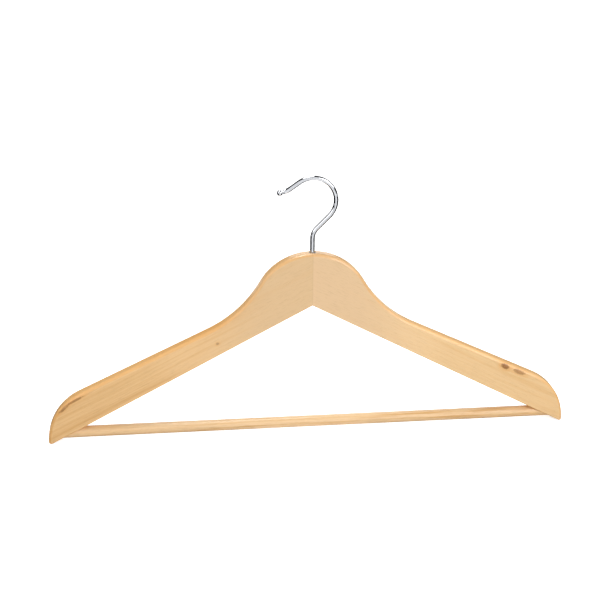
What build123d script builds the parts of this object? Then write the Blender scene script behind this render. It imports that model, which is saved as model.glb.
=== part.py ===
from build123d import *
import math
import os

# A wooden suit hanger: two glued arms, a round trouser bar and a swivelling wire hook.
# Millimetres. The origin is the rail seat, the highest point of the inside of the hook's arch.
# +X runs along the arms, +Y towards the back, +Z up. The hook's shank is on the Z axis.

# ---- Wooden body ----
SPAN = 445.0  # from tip to tip
THICKNESS = 12.0  # of the board
NECK_HEIGHT = 45.0  # from the notch under the neck to its top
NECK_RADIUS = 50.0  # round top of the neck
SADDLE_RADIUS = 100.0  # hollow between the neck and the shoulder
SHOULDER_SLOPE = 25.3  # degrees, the straight shoulder below the horizontal
UNDER_SLOPE = 27.8  # degrees, the straight underside below the horizontal
TIP_RADIUS = 48.0  # round end of each arm
TIP_RISE = 2.8  # from the underside, drawn on to the tip, up to the round end's centre
TOP_ROUND = 3.0  # rounded-over edge along the neck, shoulders and tips
UNDER_EASE = 0.9  # sanded edge along the underside
NOSE_RADIUS = 3.0  # lowest corner of each tip
NOSE_TURN = 62.0  # degrees that the corner turns before it meets the round end

# ---- Finger joint at the centre ----
FINGER_LENGTH = 9.0  # how far each arm's finger reaches into the other arm
FINGER_THICKNESS = 3.4  # of each finger, the two side by side at mid-thickness

# ---- Trouser bar ----
BAR_DIAMETER = 9.5
BAR_ABOVE_TIPS = 3.4  # from the lowest point of the tips up to the bar's underside
BAR_SEAT = 11.5  # how far the bar's axis runs inside each arm
BAR_GLUE_GAP = 0.05  # radial gap round the bar in its hole
BAR_CHAMFER = 0.4

# ---- Brads through the bar's ends ----
BRAD_DIAMETER = 1.3
BRAD_LENGTH = 9.0
BRAD_HEAD_DIAMETER = 2.1
BRAD_HEAD_THICKNESS = 0.5
BRAD_SET = 0.2  # how far the head is punched below the back face
BRAD_EDGE = 6.0  # from the blind end of the bar's hole to the brad
BRAD_POINT = 1.3  # length of its point
BRAD_BITE = 0.03  # radial interference of the brad in the wood

# ---- Hook ----
WIRE_DIAMETER = 4.0
ARCH_RADIUS = 19.0  # of the wire's centreline over the rail
ARCH_ABOVE_NECK = 43.7  # from the top of the neck to the arch's centre
RISE_ANGLE = 45.0  # degrees above the horizontal, the straight run up to the arch
SHANK_BEND_RADIUS = 12.0  # centreline, between the shank and that run
MOUTH_ANGLE = 35.0  # degrees below the horizontal, the straight run down to the mouth
MOUTH_LENGTH = 9.0  # of that run
LIP_RADIUS = 16.0  # centreline, of the turned-out lip
LIP_TURN = 20.0  # degrees
BALL_OVERHANG = 0.5  # radial, of the ball end beyond the wire
COLLAR_OVERHANG = 0.3  # radial, of the collar before the ball
COLLAR_WIDTH = 1.1
GROOVE_DEPTH = 0.35  # radial, between the collar and the ball
GROOVE_WIDTH = 0.7
FOOT_OVERHANG = 0.65  # radial, of the headed end of the shank that the bush sits on
FOOT_THICKNESS = 1.5
FOOT_ROUND = 0.3  # edge radius of the foot

# ---- Bush in the neck ----
BUSH_LENGTH = 20.0
BUSH_WALL = 1.0
BUSH_RECESS = 0.4  # of the bush's rim below the top of the neck
SWIVEL_CLEARANCE = 0.05  # radial, between the shank and the bush
FOOT_CLEARANCE = 0.1  # axial, between the foot and the bush
FOOT_ROOM = 1.5  # free depth of the hole under the foot
BARBS = 5
BARB_HEIGHT = 0.18  # how far a barb stands out of the bush
BARB_BITE = 0.1  # how far a barb's crest bites into the wood

# ---- Heights worked out from these ----
WIRE_RADIUS = WIRE_DIAMETER / 2
ARCH_Z = -(ARCH_RADIUS - WIRE_RADIUS)
NECK_TOP_Z = ARCH_Z - ARCH_ABOVE_NECK
NOTCH_Z = NECK_TOP_Z - NECK_HEIGHT
HALF_SPAN = SPAN / 2
FAR = 2 * SPAN  # larger than the body, for the tools that cut it
ON_BASE = (Align.CENTER, Align.CENTER, Align.MIN)
HAIR = 0.01  # for telling which faces an edge is on


def direction(degrees):
    """Unit vector in the XZ plane, measured from +X towards +Z."""
    angle = math.radians(degrees)
    return Vector(math.cos(angle), 0, math.sin(angle))


def under_z(x):
    """Height of the straight underside at a distance x from the centre."""
    return NOTCH_Z - x * math.tan(math.radians(UNDER_SLOPE))


def tangent_arc(start, heading, radius, turn):
    """Arc in the XZ plane from start, turning by degrees (positive to the left), its end and new heading."""
    side = 90 if turn > 0 else -90
    centre = start + direction(heading + side) * radius
    middle = centre + direction(heading - side + turn / 2) * radius
    end = centre + direction(heading - side + turn) * radius
    return ThreePointArc(start, middle, end), end, heading + turn


def nose():
    """Where the underside turns into the right tip's rounded corner, which then ends at the tip's side."""
    down = direction(-UNDER_SLOPE)
    _, end, _ = tangent_arc(Vector(0, 0, 0), -UNDER_SLOPE, NOSE_RADIUS, NOSE_TURN)
    reach = (HALF_SPAN - end.X) / down.X
    return Vector(0, 0, NOTCH_Z) + down * reach


def lowest_z():
    """Lowest point of the tips, at the bottom of the nose's arc."""
    start = nose()
    centre = start + direction(90 - UNDER_SLOPE) * NOSE_RADIUS
    return centre.Z - NOSE_RADIUS


def top_edges():
    """Right half of the upper outline, from the top of the neck to straight down past the tip."""
    tip_centre = Vector(HALF_SPAN - TIP_RADIUS, 0, under_z(HALF_SPAN) + TIP_RISE)
    tip_top = tip_centre + direction(90 - SHOULDER_SLOPE) * TIP_RADIUS
    tip_middle = tip_centre + direction((90 - SHOULDER_SLOPE) / 2) * TIP_RADIUS
    tip_side = tip_centre + Vector(TIP_RADIUS, 0, 0)
    neck_centre = Vector(0, 0, NECK_TOP_Z - NECK_RADIUS)

    # The saddle's circle touches the neck's circle from outside and the shoulder's line from above.
    back = direction(180 - SHOULDER_SLOPE)
    off = tip_top + direction(90 - SHOULDER_SLOPE) * SADDLE_RADIUS - neck_centre
    half_b = off.dot(back)
    reach = NECK_RADIUS + SADDLE_RADIUS
    along = -half_b - math.sqrt(half_b**2 - off.dot(off) + reach**2)
    saddle_centre = neck_centre + off + back * along
    saddle_low = tip_top + back * along
    to_saddle = (saddle_centre - neck_centre).normalized()
    saddle_high = neck_centre + to_saddle * NECK_RADIUS
    saddle_middle_way = ((saddle_low + saddle_high) / 2 - saddle_centre).normalized()
    saddle_middle = saddle_centre + saddle_middle_way * SADDLE_RADIUS

    neck_top = Vector(0, 0, NECK_TOP_Z)
    neck_middle_way = ((neck_top + saddle_high) / 2 - neck_centre).normalized()
    neck_middle = neck_centre + neck_middle_way * NECK_RADIUS
    below = tip_side - Vector(0, 0, FAR)
    return [
        ThreePointArc(neck_top, neck_middle, saddle_high),
        ThreePointArc(saddle_high, saddle_middle, saddle_low),
        Line(saddle_low, tip_top),
        ThreePointArc(tip_top, tip_middle, tip_side),
        Line(tip_side, below),
        Line(below, Vector(0, 0, below.Z)),
    ]


def under_edges():
    """Right half of the space under the body: the underside, the nose and a long way round below it."""
    start = nose()
    arc, end, heading = tangent_arc(start, -UNDER_SLOPE, NOSE_RADIUS, NOSE_TURN)
    out = end + direction(heading) * FAR
    return [
        Line(Vector(0, 0, NOTCH_Z), start),
        arc,
        Line(end, out),
        Line(out, Vector(out.X, 0, -2 * FAR)),
        Line(Vector(out.X, 0, -2 * FAR), Vector(0, 0, -2 * FAR)),
    ]


def symmetric_slab(half, thickness):
    """Solid from the right half of an outline in the XZ plane, mirrored and centred on that plane."""
    whole = half + [edge.mirror(Plane.YZ) for edge in half]
    face = Face(Wire(whole))
    return extrude(face, amount=thickness / 2, dir=(0, 1, 0), both=True)


def wooden_body():
    """Both arms as one, rounded over along the top and eased along the underside."""
    body = symmetric_slab(top_edges(), THICKNESS)
    faces_y = body.faces().filter_by(Axis.Y)
    rim = [edge for face in faces_y for edge in face.edges() if edge.center().Z > -FAR / 2]
    body = fillet(rim, TOP_ROUND)
    body -= symmetric_slab(under_edges(), 2 * THICKNESS)
    flat = [face for face in body.faces() if face.geom_type == GeomType.PLANE]
    under = [face for face in flat if face.normal_at(face.center()).Z < -HAIR]
    edges = [edge for face in under for edge in face.edges() if abs(edge.center().Y) > THICKNESS / 2 - HAIR]
    return fillet(edges, UNDER_EASE)


def arm_region(side):
    """Space that one arm fills: its side of the centre, with its finger and without the other's."""
    half = Pos(side * FAR / 2, 0, 0) * Box(FAR, FAR, 2 * FAR)
    own = Pos(-side * FINGER_LENGTH / 2, side * FINGER_THICKNESS / 2, 0)
    other = Pos(side * FINGER_LENGTH / 2, -side * FINGER_THICKNESS / 2, 0)
    finger = Box(FINGER_LENGTH, FINGER_THICKNESS, 2 * FAR)
    return half + own * finger - other * finger


def bar_z():
    """Height of the trouser bar's axis."""
    return lowest_z() + BAR_ABOVE_TIPS + BAR_DIAMETER / 2


def bar_half_length():
    """From the centre to the blind end of the bar's hole."""
    return (NOTCH_Z - bar_z()) / math.tan(math.radians(UNDER_SLOPE)) + BAR_SEAT


def rod(radius, length):
    """Rod along X, centred on the trouser bar's axis."""
    return Pos(0, 0, bar_z()) * Rot(0, 90, 0) * Cylinder(radius, length)


def trouser_bar():
    """Round dowel with slightly chamfered ends."""
    bar = rod(BAR_DIAMETER / 2, 2 * bar_half_length())
    return chamfer(bar.edges().filter_by(GeomType.CIRCLE), BAR_CHAMFER)


def brad(side, bite=0.0):
    """Headed brad driven from the back face into one end of the bar, thinner by bite all round."""
    shank = BRAD_DIAMETER / 2 - bite
    head = BRAD_HEAD_DIAMETER / 2 - bite
    top = THICKNESS / 2 - BRAD_SET
    outline = Polyline(
        (0, top),
        (head, top),
        (head, top - BRAD_HEAD_THICKNESS),
        (shank, top - BRAD_HEAD_THICKNESS),
        (shank, top - BRAD_LENGTH + BRAD_POINT),
        (0, top - BRAD_LENGTH),
        (0, top),
    )
    turned = revolve(make_face(outline), Axis.Y)
    x = side * (bar_half_length() - BRAD_EDGE)
    return Pos(x, 0, bar_z()) * turned


def brad_sink(side):
    """The punched dimple over a brad's head."""
    x = side * (bar_half_length() - BRAD_EDGE)
    y = THICKNESS / 2
    return Pos(x, y, bar_z()) * Rot(90, 0, 0) * Cylinder(BRAD_HEAD_DIAMETER / 2, 2 * BRAD_SET)


BUSH_BORE = WIRE_RADIUS + SWIVEL_CLEARANCE
BUSH_RADIUS = BUSH_BORE + BUSH_WALL
HOLE_RADIUS = BUSH_RADIUS + BARB_HEIGHT - BARB_BITE
BUSH_TOP_Z = NECK_TOP_Z - BUSH_RECESS
BUSH_BOTTOM_Z = BUSH_TOP_Z - BUSH_LENGTH
FOOT_TOP_Z = BUSH_BOTTOM_Z - FOOT_CLEARANCE
FOOT_BOTTOM_Z = FOOT_TOP_Z - FOOT_THICKNESS
HOLE_BOTTOM_Z = FOOT_BOTTOM_Z - FOOT_ROOM


def hook_hole():
    """Blind hole down the neck, for the bush and the hook's foot."""
    depth = NECK_TOP_Z + FOOT_ROOM - HOLE_BOTTOM_Z
    return Pos(0, 0, HOLE_BOTTOM_Z) * Cylinder(HOLE_RADIUS, depth, align=ON_BASE)


def hook_bush():
    """Barbed bush: the shank turns in it, and the foot under it carries the load."""
    pitch = BUSH_LENGTH / (BARBS + 1)
    points = [(BUSH_BORE, BUSH_BOTTOM_Z), (BUSH_RADIUS, BUSH_BOTTOM_Z)]
    for n in range(BARBS):
        low = BUSH_BOTTOM_Z + (n + 0.5) * pitch
        points += [(BUSH_RADIUS, low), (BUSH_RADIUS + BARB_HEIGHT, low + pitch / 2), (BUSH_RADIUS, low + pitch / 2)]
    points += [(BUSH_RADIUS, BUSH_TOP_Z), (BUSH_BORE, BUSH_TOP_Z), (BUSH_BORE, BUSH_BOTTOM_Z)]
    outline = Polyline(*[Vector(r, 0, z) for r, z in points])
    return revolve(make_face(outline), Axis.Z)


def hook_path():
    """Centreline of the wire from the shank's foot to the lip, its end and its last heading."""
    arch_centre = Vector(0, 0, ARCH_Z)
    rise_top = arch_centre + direction(RISE_ANGLE - 90) * ARCH_RADIUS
    bend_z = rise_top.Z - rise_top.X * math.tan(math.radians(RISE_ANGLE))
    turn = RISE_ANGLE - 90
    tangent = SHANK_BEND_RADIUS * math.tan(math.radians(abs(turn) / 2))
    shank_bottom = Vector(0, 0, FOOT_TOP_Z - FOOT_THICKNESS / 2)
    shank_top = Vector(0, 0, bend_z - tangent)
    bend, bend_end, heading = tangent_arc(shank_top, 90, SHANK_BEND_RADIUS, turn)
    arch, arch_end, heading = tangent_arc(rise_top, heading, ARCH_RADIUS, 180 + MOUTH_ANGLE - RISE_ANGLE)
    mouth_end = arch_end + direction(heading) * MOUTH_LENGTH
    lip, lip_end, heading = tangent_arc(mouth_end, heading, LIP_RADIUS, -LIP_TURN)
    path = Wire([
        Line(shank_bottom, shank_top),
        bend,
        Line(bend_end, rise_top),
        arch,
        Line(arch_end, mouth_end),
        lip,
    ])
    return path, shank_bottom, lip_end, heading


def ball_end(end, heading):
    """Collar, groove and ball turned on the end of the wire."""
    ball = WIRE_RADIUS + BALL_OVERHANG
    groove = WIRE_RADIUS - GROOVE_DEPTH
    collar = WIRE_RADIUS + COLLAR_OVERHANG
    ball_centre = COLLAR_WIDTH + GROOVE_WIDTH + math.sqrt(ball**2 - groove**2)
    outline = [
        Line((0, -WIRE_RADIUS), (WIRE_RADIUS, -WIRE_RADIUS)),
        Line((WIRE_RADIUS, -WIRE_RADIUS), (WIRE_RADIUS, 0)),
        ThreePointArc((WIRE_RADIUS, 0), (collar, COLLAR_WIDTH / 2), (WIRE_RADIUS, COLLAR_WIDTH)),
        Line((WIRE_RADIUS, COLLAR_WIDTH), (groove, COLLAR_WIDTH)),
        Line((groove, COLLAR_WIDTH), (groove, COLLAR_WIDTH + GROOVE_WIDTH)),
        ThreePointArc((groove, COLLAR_WIDTH + GROOVE_WIDTH), (ball, ball_centre), (0, ball_centre + ball)),
        Line((0, ball_centre + ball), (0, -WIRE_RADIUS)),
    ]
    turned = revolve(make_face(outline), Axis.Y)
    place = Plane(origin=end, x_dir=(0, 1, 0), z_dir=direction(heading).cross(Vector(0, 1, 0)) * -1)
    return place * turned


def hook():
    """Bent wire with a headed foot and a ball end."""
    path, start, end, heading = hook_path()
    section = Plane(origin=start, z_dir=(0, 0, 1)) * Circle(WIRE_RADIUS)
    wire = sweep(section, path)
    foot = Pos(0, 0, FOOT_BOTTOM_Z) * Cylinder(WIRE_RADIUS + FOOT_OVERHANG, FOOT_THICKNESS, align=ON_BASE)
    foot = fillet(foot.edges().filter_by(GeomType.CIRCLE), FOOT_ROUND)
    return wire + foot + ball_end(end, heading)


def arm(side, body):
    """One arm: its side of the body, drilled for the hook's bush, the bar and the brad."""
    piece = body & arm_region(side)
    piece -= hook_hole()
    piece -= rod(BAR_DIAMETER / 2 + BAR_GLUE_GAP, 2 * bar_half_length())
    piece -= brad(side, BRAD_BITE)
    piece -= brad_sink(side)
    return piece


def build():
    """Every piece of the hanger by name."""
    body = wooden_body()
    bar = trouser_bar()
    for side in (-1, 1):
        bar -= brad(side, BRAD_BITE)
    return {
        "left_arm": arm(-1, body),
        "right_arm": arm(1, body),
        "trouser_bar": bar,
        "left_brad": brad(-1),
        "right_brad": brad(1),
        "hook": hook(),
        "hook_bush": hook_bush(),
    }


os.makedirs("parts", exist_ok=True)
for name, piece in build().items():
    export_step(piece, f"parts/{name}.step")
    print(name, round(piece.volume, 1), "mm3")
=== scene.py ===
"""A wooden suit hanger with a swivelling chrome hook, dressed round its CAD frame.

The wooden arms, the dowel, the wire, the bush and the brads are the frame's own nodes. This script gives each
its finish and sets the hanger in a plain white studio. Lengths are in metres unless a name ends in _mm.
"""

import logging
import math
from dataclasses import dataclass
from enum import Enum

import bmesh
import bpy
from mathutils import Matrix, Vector


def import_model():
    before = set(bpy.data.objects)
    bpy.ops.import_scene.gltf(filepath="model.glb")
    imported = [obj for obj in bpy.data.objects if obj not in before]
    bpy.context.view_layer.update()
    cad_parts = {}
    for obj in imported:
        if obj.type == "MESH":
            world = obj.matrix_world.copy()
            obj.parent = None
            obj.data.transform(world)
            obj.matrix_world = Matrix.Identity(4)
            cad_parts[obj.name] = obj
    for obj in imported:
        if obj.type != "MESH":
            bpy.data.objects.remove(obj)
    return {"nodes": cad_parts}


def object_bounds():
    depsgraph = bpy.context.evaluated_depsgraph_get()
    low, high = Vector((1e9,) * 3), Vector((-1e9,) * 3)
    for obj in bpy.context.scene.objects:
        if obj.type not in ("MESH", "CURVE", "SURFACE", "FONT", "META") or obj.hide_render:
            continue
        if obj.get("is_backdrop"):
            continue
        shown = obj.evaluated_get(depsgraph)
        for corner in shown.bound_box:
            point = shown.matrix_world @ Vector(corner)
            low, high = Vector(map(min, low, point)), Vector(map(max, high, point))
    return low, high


LOG = logging.getLogger("hanger")
MM = 0.001
WHITE = (1.0, 1.0, 1.0, 1.0)

Pair = tuple[float, float]
Triple = tuple[float, float, float]
Socket = bpy.types.NodeSocket
Tree = bpy.types.NodeTree


class Side(Enum):
    """Which half of the hanger, as seen from the front: 1 if its arm rises towards +X, -1 if it falls."""

    LEFT = 1
    RIGHT = -1


class Cut(Enum):
    """How a piece of wood was cut from its log: the offset of the log's heart across the grain, in mm."""

    FLAT_SAWN = (70.0, 14.0)
    RIFT_SAWN = (48.0, 46.0)
    DOWEL = (9.0, 16.0)


def linear(hex_colour: str) -> tuple[float, float, float, float]:
    """Turns an sRGB hex colour into linear values.

    Args:
        hex_colour: six hex digits after a hash sign.

    Returns:
        Linear red, green, blue and an alpha of one.
    """
    channels = [int(hex_colour[i : i + 2], 16) / 255 for i in (1, 3, 5)]
    curved = [c / 12.92 if c <= 0.04045 else ((c + 0.055) / 1.055) ** 2.4 for c in channels]
    return (curved[0], curved[1], curved[2], 1.0)


def cells(long: float, wide: float) -> Triple:
    """Scale of a pattern whose cells are this long along X and this wide across it."""
    return (1 / long, 1 / wide, 1 / wide)


def add(tree: Tree, kind: str, inputs: dict[str | int, object], **settings: object) -> Socket:
    """Adds a shader node with its settings, values and links.

    Args:
        tree: the node tree to add it to.
        kind: the node's type without its ShaderNode prefix.
        inputs: socket name or number to a value, or to an output to link from.
        settings: the node's own properties.

    Returns:
        The node's first output in use, or its last input if it has no output.
    """
    node = tree.nodes.new("ShaderNode" + kind)
    for name, value in settings.items():
        setattr(node, name, value)
    for key, value in inputs.items():
        if isinstance(value, Socket):
            tree.links.new(value, node.inputs[key])
        else:
            node.inputs[key].default_value = value
    shown = [output for output in node.outputs if output.enabled]
    return shown[0] if shown else node.inputs[-1]


def new_material(name: str) -> tuple[bpy.types.Material, Tree]:
    """Makes an empty node material.

    Args:
        name: the material's name.

    Returns:
        The material and its node tree.
    """
    material = bpy.data.materials.new(name)
    material.use_nodes = True
    material.node_tree.nodes.clear()
    return material, material.node_tree


def put_on(piece: bpy.types.Object, material: bpy.types.Material) -> None:
    """Gives a piece one material in every slot.

    Args:
        piece: the mesh object to dress.
        material: its finish.
    """
    if not piece.material_slots:
        piece.data.materials.append(material)
    for slot in piece.material_slots:
        slot.material = material


def new_piece(name: str, shape: bmesh.types.BMesh, height: float) -> bpy.types.Object:
    """Makes a studio piece from a shape, and frees the shape.

    Args:
        name: the piece's name.
        shape: its faces.
        height: how high it lies, in metres.

    Returns:
        The piece, linked to the scene.
    """
    mesh = bpy.data.meshes.new(name)
    shape.to_mesh(mesh)
    shape.free()
    piece = bpy.data.objects.new(name, mesh)
    piece.location = (0.0, 0.0, height)
    bpy.context.scene.collection.objects.link(piece)
    return piece


@dataclass(frozen=True)
class SatinLacquer:
    """Clear satin lacquer, sprayed and rubbed down: a low, even gloss that nearly fills the pores.

    Under it, the dense late wood shines a little more than the open fibres do.
    """

    dense_roughness: float = 0.36
    open_roughness: float = 0.48
    fibre_range: Pair = (0.3, 0.7)
    wood_ior: float = 1.5
    weight: float = 0.7
    roughness: float = 0.15
    ior: float = 1.48
    relief: float = 0.12
    relief_mm: float = 0.1
    pore_sink: float = 0.5

    def cover(self, tree: Tree, colour: Socket, fibre: Socket, pores: Socket) -> None:
        """Finishes a wood's material.

        Args:
            tree: the material's tree.
            colour: the wood's colour.
            fibre: the fibres, from 0 to 1.
            pores: the pores, from 0 to 1.
        """
        low, high = self.fibre_range
        rough = add(
            tree,
            "MapRange",
            {
                "Value": fibre,
                "From Min": low,
                "From Max": high,
                "To Min": self.dense_roughness,
                "To Max": self.open_roughness,
            },
        )
        height = add(tree, "Math", {0: pores, 1: -self.pore_sink, 2: fibre}, operation="MULTIPLY_ADD")
        bump = add(
            tree, "Bump", {"Strength": self.relief, "Distance": self.relief_mm * MM, "Height": height}
        )
        surface = add(
            tree,
            "BsdfPrincipled",
            {
                "Base Color": colour,
                "Roughness": rough,
                "Normal": bump,
                "IOR": self.wood_ior,
                "Coat Weight": self.weight,
                "Coat Roughness": self.roughness,
                "Coat IOR": self.ior,
            },
        )
        add(tree, "OutputMaterial", {"Surface": surface})


@dataclass(frozen=True)
class Figure:
    """The figure of schima: the real sizes of what shows in it, and how much each darkens the wood."""

    # Rings are long cones round the heart of the log, so they run out slowly along the board.
    ring_taper: float = 0.03
    ring_stray_mm: float = 9.0
    ring_stray_cells: Triple = cells(90.91, 20.0)
    late_wood: float = 0.16
    late_power: float = 2.2
    ring_end: Pair = (0.9, 1.0)
    # Fibre bundles are about 0.1 mm wide; they are drawn at 0.6 mm so that they show at arm's length.
    fibre_cells: Triple = cells(45.45, 0.625)
    fibres: float = 0.62
    # Pores are open vessels cut lengthways, a few mm long; they are drawn 0.25 mm wide to show.
    pore_cells: Triple = cells(6.25, 0.2381)
    pore_range: Pair = (0.6, 0.72)
    pores: float = 0.22
    # The streaks gather in places, and leave broad plain areas between.
    streak_depth: float = 0.26
    streak_range: Pair = (0.42, 0.7)
    patch_cells: Triple = cells(142.86, 20.0)
    patch_range: Pair = (0.38, 0.62)
    patch_least: float = 0.25
    # What is left of the figure by the neck, where the wood is plain.
    quiet_share: float = 0.16
    start: float = -0.2
    # How squarely a face cuts the fibres, from where it starts to darken to end grain.
    end_grain_range: Pair = (0.15, 1.0)
    end_grain: float = 0.8
    # Painted shade: a deeper golden tone where the rounded edge starts off the flat face, kept at a lower
    # share over the round itself, where it is partly the wood's own warmer tone too. The pairs say how level
    # the surface lies, with 1 for the flat faces.
    painted_shade_start_range: Pair = (0.998, 0.9)
    painted_shade_depth: float = 0.5
    painted_shade_fade_range: Pair = (0.9, 0.45)
    painted_shade_kept: float = 0.7


@dataclass(frozen=True)
class KnotOrShadeStreak:
    """A pin knot or resin streak, also used for long streaks of painted shade: an ellipsoid of darker wood,
    just under the front face.
    """

    x_mm: float
    z_mm: float
    half_length_mm: float
    half_width_mm: float
    lean_deg: float
    strength: float
    y_mm: float = -5.0
    half_depth_mm: float = 4.0
    # The rim is uneven, in lobes about 2 mm wide.
    lobe_mm: float = 2.0
    lobe_reach: float = 0.8
    swell_mm: float = 2.2
    # Distances are in the knot's own sizes, each pair from where its effect starts to where it is full.
    swell_range: Pair = (3.4, 0.8)
    halo_range: Pair = (2.5, 1.2)
    halo: float = 0.6
    core_range: Pair = (1.45, 1.1)
    rings: float = 16.0
    ring_depth: float = 0.12

    def distance(self, tree: Tree, place: Socket) -> Socket:
        """Distance from the knot's middle, as a share of its own size in each direction.

        Args:
            tree: the material's tree.
            place: position in mm in the hanger's own frame.

        Returns:
            The distance, which is a little over 1 at the uneven rim.
        """
        lean = math.radians(self.lean_deg)
        centre = Matrix.Rotation(lean, 3, "Y") @ Vector((self.x_mm, self.y_mm, self.z_mm))
        turned = {"Vector": place, "Rotation": (0.0, lean, 0.0), "Location": tuple(-centre)}
        near = add(tree, "Mapping", turned)
        size = (1 / self.half_length_mm, 1 / self.half_depth_mm, 1 / self.half_width_mm)
        near = add(tree, "VectorMath", {0: near, 1: size}, operation="MULTIPLY")
        lobes = add(tree, "TexNoise", {"Vector": place, "Scale": 1 / self.lobe_mm, "Detail": 1.5})
        away = add(tree, "VectorMath", {0: near}, operation="LENGTH").node.outputs["Value"]
        return add(tree, "Math", {0: lobes, 1: self.lobe_reach, 2: away}, operation="MULTIPLY_ADD")

    def bend(self, tree: Tree, away: Socket, grain: Socket) -> Socket:
        """Lets the fibres swell round the knot.

        Args:
            tree: the material's tree.
            away: distance from the knot, in its own sizes.
            grain: position in mm, with X along the grain.

        Returns:
            The bent grain position.
        """
        far, near = self.swell_range
        most = self.swell_mm * self.strength
        lift = add(
            tree,
            "MapRange",
            {"Value": away, "From Min": far, "From Max": near, "To Max": most},
            interpolation_type="SMOOTHSTEP",
        )
        offset = add(tree, "CombineXYZ", {"Z": lift})
        return add(tree, "VectorMath", {0: grain, 1: offset}, operation="ADD")

    def stain(self, tree: Tree, away: Socket, colour: Socket, halo: str, core: str) -> Socket:
        """Lays a halo, then a core with fine rings of its own, over the wood.

        Args:
            tree: the material's tree.
            away: distance from the knot, in its own sizes.
            colour: the colour so far.
            halo: hex colour of the halo.
            core: hex colour of the core.

        Returns:
            The colour with the knot in it.
        """
        far, near = self.halo_range
        around = add(
            tree,
            "MapRange",
            {"Value": away, "From Min": far, "From Max": near, "To Max": self.halo * self.strength},
            interpolation_type="SMOOTHSTEP",
        )
        colour = add(tree, "Mix", {0: around, 6: colour, 7: linear(halo)}, data_type="RGBA")
        far, near = self.core_range
        inside = add(
            tree,
            "MapRange",
            {"Value": away, "From Min": far, "From Max": near, "To Max": self.strength},
            interpolation_type="SMOOTHSTEP",
        )
        rings = add(tree, "Math", {0: away, 1: self.rings}, operation="MULTIPLY")
        rings = add(tree, "Math", {0: rings}, operation="SINE")
        depth = self.ring_depth
        rings = add(tree, "Math", {0: rings, 1: depth, 2: 1.0 - depth}, operation="MULTIPLY_ADD")
        inside = add(tree, "Math", {0: inside, 1: rings}, operation="MULTIPLY")
        return add(tree, "Mix", {0: inside, 6: colour, 7: linear(core)}, data_type="RGBA")


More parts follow.
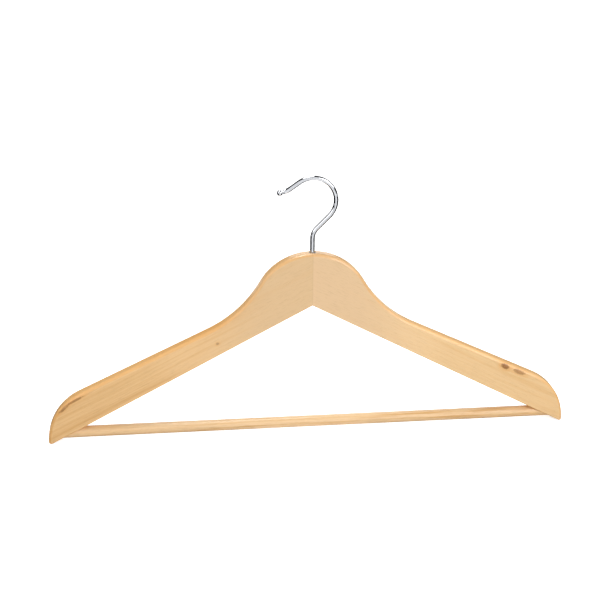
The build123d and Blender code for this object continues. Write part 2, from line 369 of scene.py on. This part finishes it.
@dataclass(frozen=True)
class LacqueredWood:
    """Pale schima hardwood, planed, sanded and sprayed with clear satin lacquer.

    The eye sees a warm straw colour with soft growth rings, hair-fine fibres that run along the piece and a
    redder tone where the cut crosses the fibres, with painted shade along the start of the routed edges. The
    colours are hex
    values: neck by the neck, arm along the arms, deep in late wood and streaks, cross_grain_and_shade where
    the cut crosses the fibres and as the painted shade on the routed edges, pore, and knot, which is also the
    core of the painted shade streaks.
    """

    name: str
    neck: str
    arm: str
    deep: str
    pore: str
    grain_deg: float
    cut: Cut
    log_shift_mm: Triple
    cross_grain_and_shade: str = "#DD9C49"
    knot: str = "#7C4A1E"
    knots_and_shade_streaks: tuple[KnotOrShadeStreak, ...] = ()
    ring_mm: float = 3.4
    streaks: float = 0.6
    # Streaks of darker wood, a few mm wide in a board, run nearly its whole length.
    streak_width_mm: float = 4.3
    streak_length_mm: float = 200.0
    quiet_mm: Pair = (30.0, 110.0)
    # A dowel has no routed edge and no glue line.
    round_stock: bool = False
    # The glue line's outer and inner half width, and how far it darkens the wood.
    glue_mm: Pair = (0.35, 0.05)
    glue: float = 0.16
    figure: Figure = Figure()
    lacquer: SatinLacquer = SatinLacquer()

    def material(self) -> bpy.types.Material:
        """Builds the wood's material.

        Returns:
            The finished material.
        """
        material, tree = new_material(self.name)
        coordinates = add(tree, "TexCoord", {}).node
        place = coordinates.outputs["Object"]
        to_mm = (1 / MM, 1 / MM, 1 / MM)
        place_mm = add(tree, "Mapping", {"Vector": place, "Scale": to_mm})
        turn = (0.0, math.radians(self.grain_deg), 0.0)
        along = {"Vector": place, "Rotation": turn, "Scale": to_mm, "Location": self.log_shift_mm}
        grain = add(tree, "Mapping", along)
        knots_and_shade_streaks = [(knot, knot.distance(tree, place_mm)) for knot in self.knots_and_shade_streaks]
        for knot, away in knots_and_shade_streaks:
            grain = knot.bend(tree, away, grain)
        outward = self._outward(tree, place_mm)
        fibre = self._noise(tree, grain, self.figure.fibre_cells, detail=4.0, roughness=0.62)
        pores = self._pores(tree, grain)
        tone = self._tone(tree, grain, outward, fibre)
        colour = add(
            tree, "Mix", {0: outward, 6: linear(self.neck), 7: linear(self.arm)}, data_type="RGBA"
        )
        colour = add(tree, "Mix", {0: tone, 6: colour, 7: linear(self.deep)}, data_type="RGBA")
        open_share = add(tree, "Math", {0: pores, 1: self.figure.pores}, operation="MULTIPLY")
        colour = add(tree, "Mix", {0: open_share, 6: colour, 7: linear(self.pore)}, data_type="RGBA")
        if not self.round_stock:
            colour = self._cross_grain_and_painted_shade(tree, coordinates.outputs["Normal"], colour)
        for knot, away in knots_and_shade_streaks:
            colour = knot.stain(tree, away, colour, self.cross_grain_and_shade, self.knot)
        if not self.round_stock:
            colour = self._glue_line(tree, place_mm, colour)
        self.lacquer.cover(tree, colour, fibre, pores)
        return material

    def _outward(self, tree: Tree, place: Socket) -> Socket:
        """Draws the change from the pale, quiet neck to the more golden arms.

        Args:
            tree: the material's tree.
            place: position in mm in the hanger's own frame.

        Returns:
            The share of the way, from 0 by the neck to 1 along the arms.
        """
        across = add(tree, "SeparateXYZ", {0: place}).node.outputs["X"]
        across = add(tree, "Math", {0: across}, operation="ABSOLUTE")
        near, far = self.quiet_mm
        return add(
            tree,
            "MapRange",
            {"Value": across, "From Min": near, "From Max": far},
            interpolation_type="SMOOTHSTEP",
        )

    def _noise(
        self, tree: Tree, grain: Socket, scale: Triple, detail: float = 1.0, roughness: float = 0.5
    ) -> Socket:
        """Draws a noise that is stretched along the grain.

        Args:
            tree: the material's tree.
            grain: position in mm, with X along the grain.
            scale: cells per mm along and across the grain.
            detail: how many finer layers it has.
            roughness: how strong they are.

        Returns:
            The noise, from 0 to 1.
        """
        at = add(tree, "VectorMath", {0: grain, 1: scale}, operation="MULTIPLY")
        settings = {"Vector": at, "Scale": 1.0, "Detail": detail, "Roughness": roughness}
        return add(tree, "TexNoise", settings)

    def _pores(self, tree: Tree, grain: Socket) -> Socket:
        """Draws the open pores.

        Args:
            tree: the material's tree.
            grain: position in mm, with X along the grain.

        Returns:
            The pores, from 0 to 1.
        """
        pore = self._noise(tree, grain, self.figure.pore_cells)
        low, high = self.figure.pore_range
        return add(tree, "MapRange", {"Value": pore, "From Min": low, "From Max": high})

    def _late_wood(self, tree: Tree, grain: Socket) -> Socket:
        """Draws the growth rings, each darkening slowly outwards and ending sharply.

        Args:
            tree: the material's tree.
            grain: position in mm, with X along the grain.

        Returns:
            The late wood, from 0 to 1.
        """
        figure = self.figure
        cone = add(tree, "VectorMath", {0: grain, 1: (figure.ring_taper, 1.0, 1.0)}, operation="MULTIPLY")
        stray = self._noise(tree, grain, figure.ring_stray_cells, detail=2.0)
        stray = add(tree, "Math", {0: stray, 1: figure.ring_stray_mm}, operation="MULTIPLY")
        heart = (0.0, *self.cut.value)
        radius = add(tree, "VectorMath", {0: cone, 1: heart}, operation="DISTANCE").node.outputs["Value"]
        radius = add(tree, "Math", {0: radius, 1: stray}, operation="ADD")
        ring = add(tree, "Math", {0: radius, 1: self.ring_mm}, operation="DIVIDE")
        ring = add(tree, "Math", {0: ring}, operation="FRACT")
        late = add(tree, "Math", {0: ring, 1: figure.late_power}, operation="POWER")
        start, stop = figure.ring_end
        ease = {"Value": ring, "From Min": start, "From Max": stop, "To Min": 1.0, "To Max": 0.0}
        return add(tree, "Math", {0: late, 1: add(tree, "MapRange", ease)}, operation="MULTIPLY")

    def _streaks(self, tree: Tree, grain: Socket) -> Socket:
        """Draws the streaks of darker wood and the places where they gather.

        Args:
            tree: the material's tree.
            grain: position in mm, with X along the grain.

        Returns:
            The streaks, from 0 to 1.
        """
        figure = self.figure
        long, deep, wide = cells(self.streak_length_mm, self.streak_width_mm)
        scale = (long, figure.streak_depth * deep, wide)
        streak = self._noise(tree, grain, scale, detail=3.0, roughness=0.55)
        low, high = figure.streak_range
        streak = add(
            tree,
            "MapRange",
            {"Value": streak, "From Min": low, "From Max": high},
            interpolation_type="SMOOTHSTEP",
        )
        patch = self._noise(tree, grain, figure.patch_cells)
        low, high = figure.patch_range
        gather = {"Value": patch, "From Min": low, "From Max": high, "To Min": figure.patch_least}
        return add(tree, "Math", {0: streak, 1: add(tree, "MapRange", gather)}, operation="MULTIPLY")

    def _tone(self, tree: Tree, grain: Socket, outward: Socket, fibre: Socket) -> Socket:
        """Adds up the late wood, the fibres and the streaks.

        Args:
            tree: the material's tree.
            grain: position in mm, with X along the grain.
            outward: share of the way from the neck to the arms.
            fibre: the fibres, from 0 to 1.

        Returns:
            The share of deep wood, from 0 to 1.
        """
        figure = self.figure
        late = self._late_wood(tree, grain)
        streak = self._streaks(tree, grain)
        shown = add(tree, "MapRange", {"Value": outward, "To Min": figure.quiet_share, "To Max": 1.0})
        tone = add(tree, "Math", {0: late, 1: figure.late_wood, 2: figure.start}, operation="MULTIPLY_ADD")
        tone = add(tree, "Math", {0: fibre, 1: figure.fibres, 2: tone}, operation="MULTIPLY_ADD")
        tone = add(tree, "Math", {0: streak, 1: self.streaks, 2: tone}, operation="MULTIPLY_ADD")
        return add(tree, "Math", {0: tone, 1: shown}, operation="MULTIPLY", use_clamp=True)

    def _cross_grain_and_painted_shade(self, tree: Tree, normal: Socket, colour: Socket) -> Socket:
        """Deepens the colour where the surface cuts across the fibres, as on the tips and the neck's top, and
        paints shade along the start of the rounded edges.

        Args:
            tree: the material's tree.
            normal: the surface's normal in the hanger's own frame.
            colour: the colour so far.

        Returns:
            The deepened colour.
        """
        figure = self.figure
        angle = math.radians(self.grain_deg)
        fibres = (math.cos(angle), 0.0, math.sin(angle))
        facing = add(tree, "VectorMath", {0: normal, 1: fibres}, operation="DOT_PRODUCT")
        facing = add(tree, "Math", {0: facing.node.outputs["Value"]}, operation="ABSOLUTE")
        low, high = figure.end_grain_range
        end_grain = add(
            tree,
            "MapRange",
            {"Value": facing, "From Min": low, "From Max": high, "To Max": figure.end_grain},
            interpolation_type="SMOOTHSTEP",
        )
        # Painted shade along the start of the rounded edge, kept at a lower share over the round, where it is
        # partly the wood's own warmer tone.
        level = add(tree, "SeparateXYZ", {0: normal}).node.outputs["Y"]
        level = add(tree, "Math", {0: level}, operation="ABSOLUTE")
        flat, turned = figure.painted_shade_start_range
        start = add(
            tree,
            "MapRange",
            {"Value": level, "From Min": flat, "From Max": turned, "To Max": figure.painted_shade_depth},
            interpolation_type="SMOOTHSTEP",
        )
        flat, turned = figure.painted_shade_fade_range
        over = add(
            tree,
            "MapRange",
            {
                "Value": level,
                "From Min": flat,
                "From Max": turned,
                "To Min": 1.0,
                "To Max": figure.painted_shade_kept,
            },
            interpolation_type="SMOOTHSTEP",
        )
        painted_shade_share = add(tree, "Math", {0: start, 1: over}, operation="MULTIPLY")
        share = add(tree, "Math", {0: end_grain, 1: painted_shade_share}, operation="MAXIMUM")
        return add(tree, "Mix", {0: share, 6: colour, 7: linear(self.cross_grain_and_shade)}, data_type="RGBA")

    def _glue_line(self, tree: Tree, place: Socket, colour: Socket) -> Socket:
        """Draws the hairline of set glue, 0.1 to 0.7 mm wide, where the faces of the two arms meet.

        Args:
            tree: the material's tree.
            place: position in mm in the hanger's own frame.
            colour: the colour so far.

        Returns:
            The colour with the line in it.
        """
        across = add(tree, "SeparateXYZ", {0: place}).node.outputs["X"]
        across = add(tree, "Math", {0: across}, operation="ABSOLUTE")
        outer, inner = self.glue_mm
        line = add(
            tree,
            "MapRange",
            {"Value": across, "From Min": outer, "From Max": inner, "To Max": self.glue},
            interpolation_type="SMOOTHSTEP",
        )
        return add(tree, "Mix", {0: line, 6: colour, 7: linear(self.pore)}, data_type="RGBA")


# The boards' fibres run 1.2 degrees flatter than the arms' undersides.
BOARD_GRAIN_DEG = 27.8 - 1.2

LEFT_BOARD = LacqueredWood(
    name="lacquered_schima_left",
    neck="#DCB989",
    arm="#ECC48B",
    deep="#D0964F",
    pore="#8A5A2E",
    grain_deg=BOARD_GRAIN_DEG * Side.LEFT.value,
    cut=Cut.RIFT_SAWN,
    log_shift_mm=(13.0, 4.0, 31.0),
    knots_and_shade_streaks=(
        KnotOrShadeStreak(-79.3, -136.2, 1.7, 1.3, 28.0, 0.5),
        # Painted shade: these two long dark streaks by the left tip stand in for the shade along the start of
        # the round there.
        KnotOrShadeStreak(-207.5, -188.7, 8.0, 1.3, 44.0, 0.65),
        KnotOrShadeStreak(-198.0, -181.9, 8.0, 1.2, 28.0, 0.6),
    ),
)

RIGHT_BOARD = LacqueredWood(
    name="lacquered_schima_right",
    neck="#E1BE91",
    arm="#F1CD99",
    deep="#E0AC68",
    cross_grain_and_shade="#E3A453",
    pore="#96672F",
    knot="#8C5424",
    grain_deg=BOARD_GRAIN_DEG * Side.RIGHT.value,
    cut=Cut.FLAT_SAWN,
    log_shift_mm=(170.0, 9.0, 5.0),
    knots_and_shade_streaks=(
        KnotOrShadeStreak(167.8, -167.7, 4.4, 2.7, -25.0, 0.9),
        KnotOrShadeStreak(180.8, -173.6, 6.6, 2.2, -25.0, 0.62),
    ),
    streaks=0.28,
)

DOWEL = LacqueredWood(
    name="lacquered_schima_dowel",
    neck="#F0CD9E",
    arm="#F5D3A4",
    deep="#DBA767",
    pore="#94602F",
    grain_deg=0.0,
    cut=Cut.DOWEL,
    log_shift_mm=(60.0, 2.0, 214.0),
    ring_mm=2.6,
    streaks=0.75,
    streak_width_mm=1.5,
    streak_length_mm=60.0,
    quiet_mm=(-2.0, -1.0),
    round_stock=True,
)


@dataclass(frozen=True)
class ChromePlate:
    """Steel wire, drawn, bent and bright chrome plated: a cool mirror with a few hair-fine handling marks."""

    name: str = "bright_chrome_plate"
    face: str = "#E4E6EA"
    marked: str = "#CDD0D6"
    roughness: float = 0.035
    marked_roughness: float = 0.077
    # Drawing lines are a few hundredths of a mm wide; they are drawn at 0.3 mm so that they show.
    mark_width_mm: float = 0.30303
    mark_length_mm: float = 4.1667
    mark_depth_mm: float = 0.03
    mark_range: Pair = (0.4, 0.75)
    relief: float = 0.04

    def material(self) -> bpy.types.Material:
        """Builds the chrome's material.

        Returns:
            The finished material.
        """
        material, tree = new_material(self.name)
        place = add(tree, "TexCoord", {}).node.outputs["Object"]
        across, along = 1 / (self.mark_width_mm * MM), 1 / (self.mark_length_mm * MM)
        marks_at = add(tree, "Mapping", {"Vector": place, "Scale": (across, across, along)})
        marks = add(tree, "TexNoise", {"Vector": marks_at, "Scale": 1.0, "Detail": 3.0})
        low, high = self.mark_range
        rough = add(
            tree,
            "MapRange",
            {
                "Value": marks,
                "From Min": low,
                "From Max": high,
                "To Min": self.roughness,
                "To Max": self.marked_roughness,
            },
        )
        depth = self.mark_depth_mm * MM
        bump = add(tree, "Bump", {"Strength": self.relief, "Distance": depth, "Height": marks})
        colour = add(
            tree, "Mix", {0: marks, 6: linear(self.face), 7: linear(self.marked)}, data_type="RGBA"
        )
        surface = add(
            tree,
            "BsdfPrincipled",
            {"Base Color": colour, "Metallic": 1.0, "Roughness": rough, "Normal": bump},
        )
        add(tree, "OutputMaterial", {"Surface": surface})
        return material


@dataclass(frozen=True)
class ZincPlate:
    """Zinc-plated steel, turned or headed, then barrel plated and passivated: a dull, cloudy, pale grey.

    The passivated film is a thin salt, not metal, so a share of the light comes back as a whitish haze.
    """

    name: str = "zinc_plated_steel"
    bright: str = "#C9CCCF"
    dull: str = "#8F9499"
    metal_share: float = 0.6
    roughness: Pair = (0.38, 0.6)
    spangle_mm: float = 0.5
    spangle_depth_mm: float = 0.02
    relief: float = 0.1

    def material(self) -> bpy.types.Material:
        """Builds the zinc's material.

        Returns:
            The finished material.
        """
        material, tree = new_material(self.name)
        place = add(tree, "TexCoord", {}).node.outputs["Object"]
        scale = cells(self.spangle_mm * MM, self.spangle_mm * MM)
        cloud_at = add(tree, "Mapping", {"Vector": place, "Scale": scale})
        cloud = add(tree, "TexNoise", {"Vector": cloud_at, "Scale": 1.0, "Detail": 4.0})
        colour = add(tree, "Mix", {0: cloud, 6: linear(self.bright), 7: linear(self.dull)}, data_type="RGBA")
        low, high = self.roughness
        rough = add(tree, "MapRange", {"Value": cloud, "To Min": low, "To Max": high})
        depth = self.spangle_depth_mm * MM
        bump = add(tree, "Bump", {"Strength": self.relief, "Distance": depth, "Height": cloud})
        surface = add(
            tree,
            "BsdfPrincipled",
            {"Base Color": colour, "Metallic": self.metal_share, "Roughness": rough, "Normal": bump},
        )
        add(tree, "OutputMaterial", {"Surface": surface})
        return material


@dataclass(frozen=True)
class WoodenPiece:
    """A piece of wood that keeps its CAD shape: an arm, half of the glued neck, or the dowel."""

    wood: LacqueredWood
    node: bpy.types.Object

    def dress(self) -> None:
        """Gives the piece its lacquered wood."""
        put_on(self.node, self.wood.material())
        LOG.info("%s: %s", self.node.name, self.wood.name)


@dataclass(frozen=True)
class Hardware:
    """Metal pieces of one plating that keep their CAD shapes."""

    plate: ChromePlate | ZincPlate
    nodes: tuple[bpy.types.Object, ...]

    def dress(self) -> None:
        """Plates every piece of this kind."""
        material = self.plate.material()
        for node in self.nodes:
            put_on(node, material)
            LOG.info("%s: %s", node.name, self.plate.name)


@dataclass(frozen=True)
class Hanger:
    """The whole hanger, piece by piece."""

    nodes: dict[str, bpy.types.Object]

    def build(self) -> None:
        """Dresses every piece in order."""
        WoodenPiece(LEFT_BOARD, self.nodes["left_arm"]).dress()
        WoodenPiece(RIGHT_BOARD, self.nodes["right_arm"]).dress()
        WoodenPiece(DOWEL, self.nodes["trouser_bar"]).dress()
        Hardware(ChromePlate(), (self.nodes["hook"],)).dress()
        steel = tuple(self.nodes[name] for name in ("hook_bush", "left_brad", "right_brad"))
        Hardware(ZincPlate(), steel).dress()


@dataclass(frozen=True)
class LightTable:
    """Matt white paper under the hanger, lit from below, with black velvet flags beside it.

    The flags are seen only in reflections, where they draw dark lines along the chrome's sides.
    """

    height: float
    size: float = 12.0
    glow: float = 0.66
    paper: str = "#F4F4F4"
    paper_roughness: float = 0.9
    velvet: str = "#0A0A0B"
    flag_lift: float = 2 * MM
    flag_near: float = 0.05
    flag_far: float = 1.6
    flag_deg: Pair = (40.0, 152.0)
    flag_steps: int = 8

    def build(self) -> None:
        """Lays the paper and a flag on either side."""
        self._lay_paper()
        self._lay_flag("flag_right_0", 1.0)
        self._lay_flag("flag_left_0", -1.0)

    def _lay_paper(self) -> None:
        """Lays the paper; its glow shows only to the camera, so that it looks nearly white."""
        shape = bmesh.new()
        bmesh.ops.create_grid(shape, x_segments=2, y_segments=2, size=self.size / 2)
        floor = new_piece("studio_floor", shape, self.height)
        material, tree = new_material("matt_white_paper")
        paper = add(tree, "BsdfDiffuse", {"Color": linear(self.paper), "Roughness": self.paper_roughness})
        seen = add(tree, "LightPath", {}).node.outputs["Is Camera Ray"]
        glow = add(tree, "Math", {0: seen, 1: self.glow}, operation="MULTIPLY")
        light = add(tree, "Emission", {"Color": WHITE, "Strength": glow})
        surface = add(tree, "AddShader", {0: paper, 1: light})
        add(tree, "OutputMaterial", {"Surface": surface})
        put_on(floor, material)
        floor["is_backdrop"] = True

    def _lay_flag(self, name: str, sign: float) -> None:
        """Lays one flag, part of a flat ring round the hanger.

        Args:
            name: the flag's name.
            sign: 1 on the right, -1 on the left.
        """
        shape = bmesh.new()
        start, stop = self.flag_deg
        rows = []
        for step in range(self.flag_steps + 1):
            angle = math.radians(sign * (start + (stop - start) * step / self.flag_steps))
            way = Vector((math.sin(angle), -math.cos(angle), 0.0))
            rows.append([shape.verts.new(way * radius) for radius in (self.flag_near, self.flag_far)])
        for near, far in zip(rows, rows[1:]):
            shape.faces.new((near[0], near[1], far[1], far[0]))
        flag = new_piece(name, shape, self.height + self.flag_lift)
        flag.visible_camera = False
        flag.visible_diffuse = False
        flag.visible_shadow = False
        # Velvet is a woven pile that swallows nearly all light, so it reads as plain black.
        material, tree = new_material("black_velvet")
        surface = add(tree, "BsdfDiffuse", {"Color": linear(self.velvet)})
        add(tree, "OutputMaterial", {"Surface": surface})
        put_on(flag, material)
        flag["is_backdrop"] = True


@dataclass(frozen=True)
class WhiteRoom:
    """The room round the hanger, evenly white, but with black screens behind and above for the chrome.

    Reflections see a bright front, bright sides in a band and a dark back and ceiling, so each edge of the
    chrome gets a black line. The pairs are parts of a unit direction, from none of the light to all of it.
    """

    level: float = 0.45
    screen_level: float = 0.01
    front_y: Pair = (-0.6, -0.8)
    sides_y: Pair = (0.25, 0.05)
    band_bottom_z: Pair = (0.22, 0.32)
    band_top_z: Pair = (0.8, 0.68)

    def build(self) -> None:
        """Builds the world."""
        world = bpy.data.worlds.new("white_room")
        bpy.context.scene.world = world
        world.use_nodes = True
        tree = world.node_tree
        tree.nodes.clear()
        way = add(tree, "TexCoord", {}).node.outputs["Generated"]
        parts = add(tree, "SeparateXYZ", {0: way}).node.outputs
        front, sides, bottom, top = (
            add(
                tree,
                "MapRange",
                {"Value": parts[axis], "From Min": none, "From Max": full},
                interpolation_type="SMOOTHSTEP",
            )
            for axis, (none, full) in (
                ("Y", self.front_y),
                ("Y", self.sides_y),
                ("Z", self.band_bottom_z),
                ("Z", self.band_top_z),
            )
        )
        band = add(tree, "Math", {0: bottom, 1: top}, operation="MULTIPLY")
        band = add(tree, "Math", {0: band, 1: sides}, operation="MULTIPLY")
        mirrored = add(tree, "Math", {0: front, 1: band}, operation="MAXIMUM")
        mirrored = add(tree, "MapRange", {"Value": mirrored, "To Min": self.screen_level, "To Max": 1.0})
        paths = add(tree, "LightPath", {}).node.outputs
        level = add(tree, "Mix", {0: paths["Is Glossy Ray"], 2: self.level, 3: mirrored})
        level = add(tree, "Math", {0: level, 1: paths["Is Camera Ray"]}, operation="MAXIMUM")
        back = add(tree, "Background", {"Color": WHITE, "Strength": level})
        add(tree, "OutputWorld", {"Surface": back})


@dataclass(frozen=True)
class SoftBox:
    """A square soft box, its offset from the hanger's middle and its side in metres, its power in watts."""

    name: str
    offset: Triple
    size: float
    power: float

    def hang(self, middle: Vector) -> None:
        """Hangs the soft box and aims it at the hanger.

        Args:
            middle: the hanger's middle.
        """
        data = bpy.data.lights.new(self.name, "AREA")
        data.size = self.size
        data.energy = self.power
        light = bpy.data.objects.new(self.name, data)
        offset = Vector(self.offset)
        light.location = middle + offset
        light.rotation_euler = (-offset).to_track_quat("-Z", "Y").to_euler()
        bpy.context.scene.collection.objects.link(light)


@dataclass(frozen=True)
class Viewpoint:
    """The camera, a little above and to the left of the hanger."""

    azimuth_deg: float = -7.0
    elevation_deg: float = 20.3
    roll_deg: float = 0.4
    distance: float = 1.0365
    lens_mm: float = 74.83
    sensor_mm: float = 36.0
    reach: float = 100.0
    aim_offset: Triple = (-0.0099, 0.0, 0.00665)

    def build(self, middle: Vector) -> None:
        """Places the camera.

        Args:
            middle: the hanger's middle.
        """
        azimuth = math.radians(self.azimuth_deg)
        elevation = math.radians(self.elevation_deg)
        level = math.cos(elevation)
        back = Vector((math.sin(azimuth) * level, -math.cos(azimuth) * level, math.sin(elevation)))
        data = bpy.data.cameras.new("camera")
        data.sensor_width = self.sensor_mm
        data.lens = self.lens_mm
        data.clip_end = self.reach
        camera = bpy.data.objects.new("camera", data)
        camera.location = middle + Vector(self.aim_offset) + back * self.distance
        roll = Matrix.Rotation(math.radians(self.roll_deg), 3, "Z")
        camera.rotation_euler = (back.to_track_quat("Z", "Y").to_matrix() @ roll).to_euler()
        bpy.context.scene.collection.objects.link(camera)
        bpy.context.scene.camera = camera


@dataclass(frozen=True)
class Studio:
    """A plain white studio round the hanger, whose box runs from low to high."""

    low: Vector
    high: Vector
    soft_boxes: tuple[SoftBox, ...] = (
        SoftBox("key_box", (1.0, -1.1, 0.75), 0.9, 10.8),
        SoftBox("fill_box", (-1.2, -0.9, 0.6), 0.8, 3.4),
        SoftBox("top_box", (-0.15, 0.1, 1.3), 0.6, 12.0),
        SoftBox("back_box", (0.2, 1.4, 0.7), 0.9, 3.2),
    )

    def build(self) -> None:
        """Builds the light table, the room, the soft boxes and the camera."""
        middle = (self.low + self.high) / 2
        LightTable(self.low.z).build()
        WhiteRoom().build()
        for box in self.soft_boxes:
            box.hang(middle)
        Viewpoint().build(middle)


def main() -> None:
    """Loads the frame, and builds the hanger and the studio."""
    logging.basicConfig(level=logging.INFO, format="%(name)s %(message)s")
    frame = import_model()
    cad_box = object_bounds()
    Hanger(frame["nodes"]).build()
    Studio(*cad_box).build()
    bpy.context.scene.view_settings.view_transform = "Standard"


if __name__ == "__main__":
    main()
